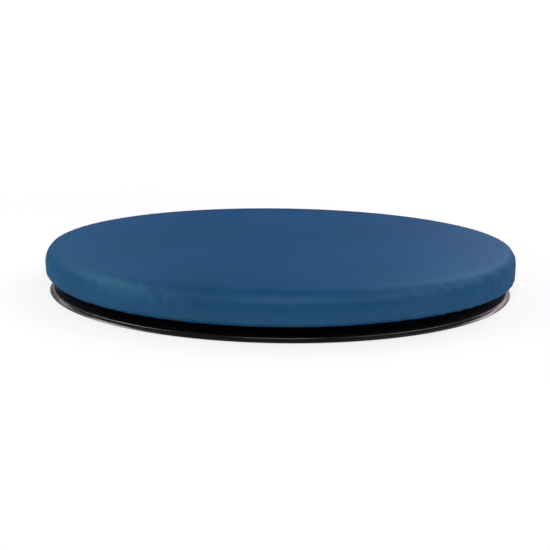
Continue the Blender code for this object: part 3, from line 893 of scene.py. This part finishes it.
def make_floor():
    """A pale floor that glows a little, like a light table, and fades into the white surround."""
    mesh = bpy.data.meshes.new("floor")
    bm = bmesh.new()
    bmesh.ops.create_circle(bm, cap_ends=True, segments=96, radius=FLOOR_RADIUS)
    bm.to_mesh(mesh)
    bm.free()
    floor = new_object("floor", mesh)
    material, tree, shader = new_material("floor_pale")
    shader.inputs["Base Color"].default_value = (0.88, 0.88, 0.88, 1.0)
    shader.inputs["Roughness"].default_value = 0.9
    shader.inputs["Specular IOR Level"].default_value = 0.0
    place = object_coordinates(tree)
    away = add(tree, "ShaderNodeVectorMath", {0: place}, operation="LENGTH").outputs["Value"]
    fade = remap(tree, away, FADE_START, FADE_END, 0.0, 1.0)
    clear = add(tree, "ShaderNodeBsdfTransparent")
    glow = add(tree, "ShaderNodeEmission", {"Color": (1.0, 1.0, 1.0, 1.0), "Strength": SURROUND})
    lit = add(tree, "ShaderNodeMixShader", {0: FLOOR_GLOW, 1: shader.outputs[0], 2: glow.outputs[0]})
    blend = add(tree, "ShaderNodeMixShader", {0: fade, 1: lit.outputs[0], 2: clear.outputs[0]})
    tree.links.new(blend.outputs[0], tree.nodes["Material Output"].inputs["Surface"])
    paint(floor, material)


def make_world():
    """White to the camera. The object sees a dim room, and a backdrop that is lighter on the right."""
    world = bpy.data.worlds.new("studio")
    world.use_nodes = True
    tree = world.node_tree
    surround = tree.nodes["Background"]
    surround.inputs["Color"].default_value = (1.0, 1.0, 1.0, 1.0)
    surround.inputs["Strength"].default_value = SURROUND
    direction = add(tree, "ShaderNodeTexCoord").outputs["Generated"]
    axes = add(tree, "ShaderNodeSeparateXYZ", {"Vector": direction})
    across, depth = axes.outputs["X"], axes.outputs["Y"]
    rightwards = remap(tree, across, 0.0, 0.8, 0.0, 1.0, "SMOOTHSTEP")
    leftwards = remap(tree, across, 0.0, -0.7, BACKDROP_MIDDLE, BACKDROP_LEFT, "SMOOTHSTEP")
    backdrop = remap(tree, rightwards, 0.0, 1.0, leftwards, BACKDROP_RIGHT)
    strength = remap(tree, depth, -0.1, 0.4, ROOM_FRONT, backdrop)
    tint = mix_colour(tree, rightwards, (1.0, 0.94, 0.90, 1.0), (1.0, 0.86, 0.87, 1.0))
    room = add(tree, "ShaderNodeBackground", {"Color": tint, "Strength": strength})
    seen = add(tree, "ShaderNodeLightPath").outputs["Is Camera Ray"]
    mix = add(tree, "ShaderNodeMixShader", {0: seen, 1: room.outputs[0], 2: surround.outputs[0]})
    tree.links.new(mix.outputs[0], tree.nodes["World Output"].inputs["Surface"])
    bpy.context.scene.world = world


def softbox(name, bearing, elevation, width, height, distance, power, colour):
    """A rectangular light that faces the cushion."""
    light = bpy.data.lights.new(name, "AREA")
    light.shape = "RECTANGLE"
    light.size = width
    light.size_y = height
    light.energy = power
    light.color = colour
    bearing, elevation = math.radians(bearing), math.radians(elevation)
    flat = distance * math.cos(elevation)
    place = Vector((flat * math.cos(bearing), flat * math.sin(bearing), distance * math.sin(elevation)))
    obj = new_object(name, light)
    obj.location = place
    obj.rotation_euler = (CAMERA_TARGET - place).to_track_quat("-Z", "Y").to_euler()


def make_lights():
    """The studio's softboxes."""
    for name, settings in SOFTBOXES.items():
        softbox(name, *settings)


def make_camera():
    """The fitted viewpoint: low and close, aimed at the middle of the cushion, rolled slightly."""
    camera = bpy.data.cameras.new("camera")
    camera.sensor_width = SENSOR_WIDTH
    camera.lens = LENS
    camera.shift_x = SHIFT_X
    camera.shift_y = SHIFT_Y
    obj = new_object("camera", camera)
    back = Vector((0.0, -math.cos(CAMERA_ELEVATION), math.sin(CAMERA_ELEVATION)))
    aim = (-back).to_track_quat("-Z", "Y").to_matrix().to_4x4()
    turn = Matrix.Rotation(CAMERA_ROLL, 4, "Z")
    obj.matrix_world = Matrix.Translation(CAMERA_TARGET + back * CAMERA_DISTANCE) @ aim @ turn
    bpy.context.scene.camera = obj


cover = make_cover()
base = make_base()
foam_top = make_foam("foam_top_disc", comfort_outline, "foam_comfort")
foam_firm = make_foam("foam_firm_disc", support_outline, "foam_support")
cord = make_elastic()
paint(cover, cover_material())
paint(base, gloss_plastic_material())
paint(foam_top, foam_material("foam_cream", srgb(196, 184, 150), srgb(226, 216, 188)))
paint(foam_firm, foam_material("foam_grey", srgb(120, 122, 128), srgb(158, 160, 166)))
paint(cord, cord_material())
paint_frame_nodes()
make_floor()
make_world()
make_lights()
make_camera()
bpy.context.scene.view_settings.view_transform = "Standard"
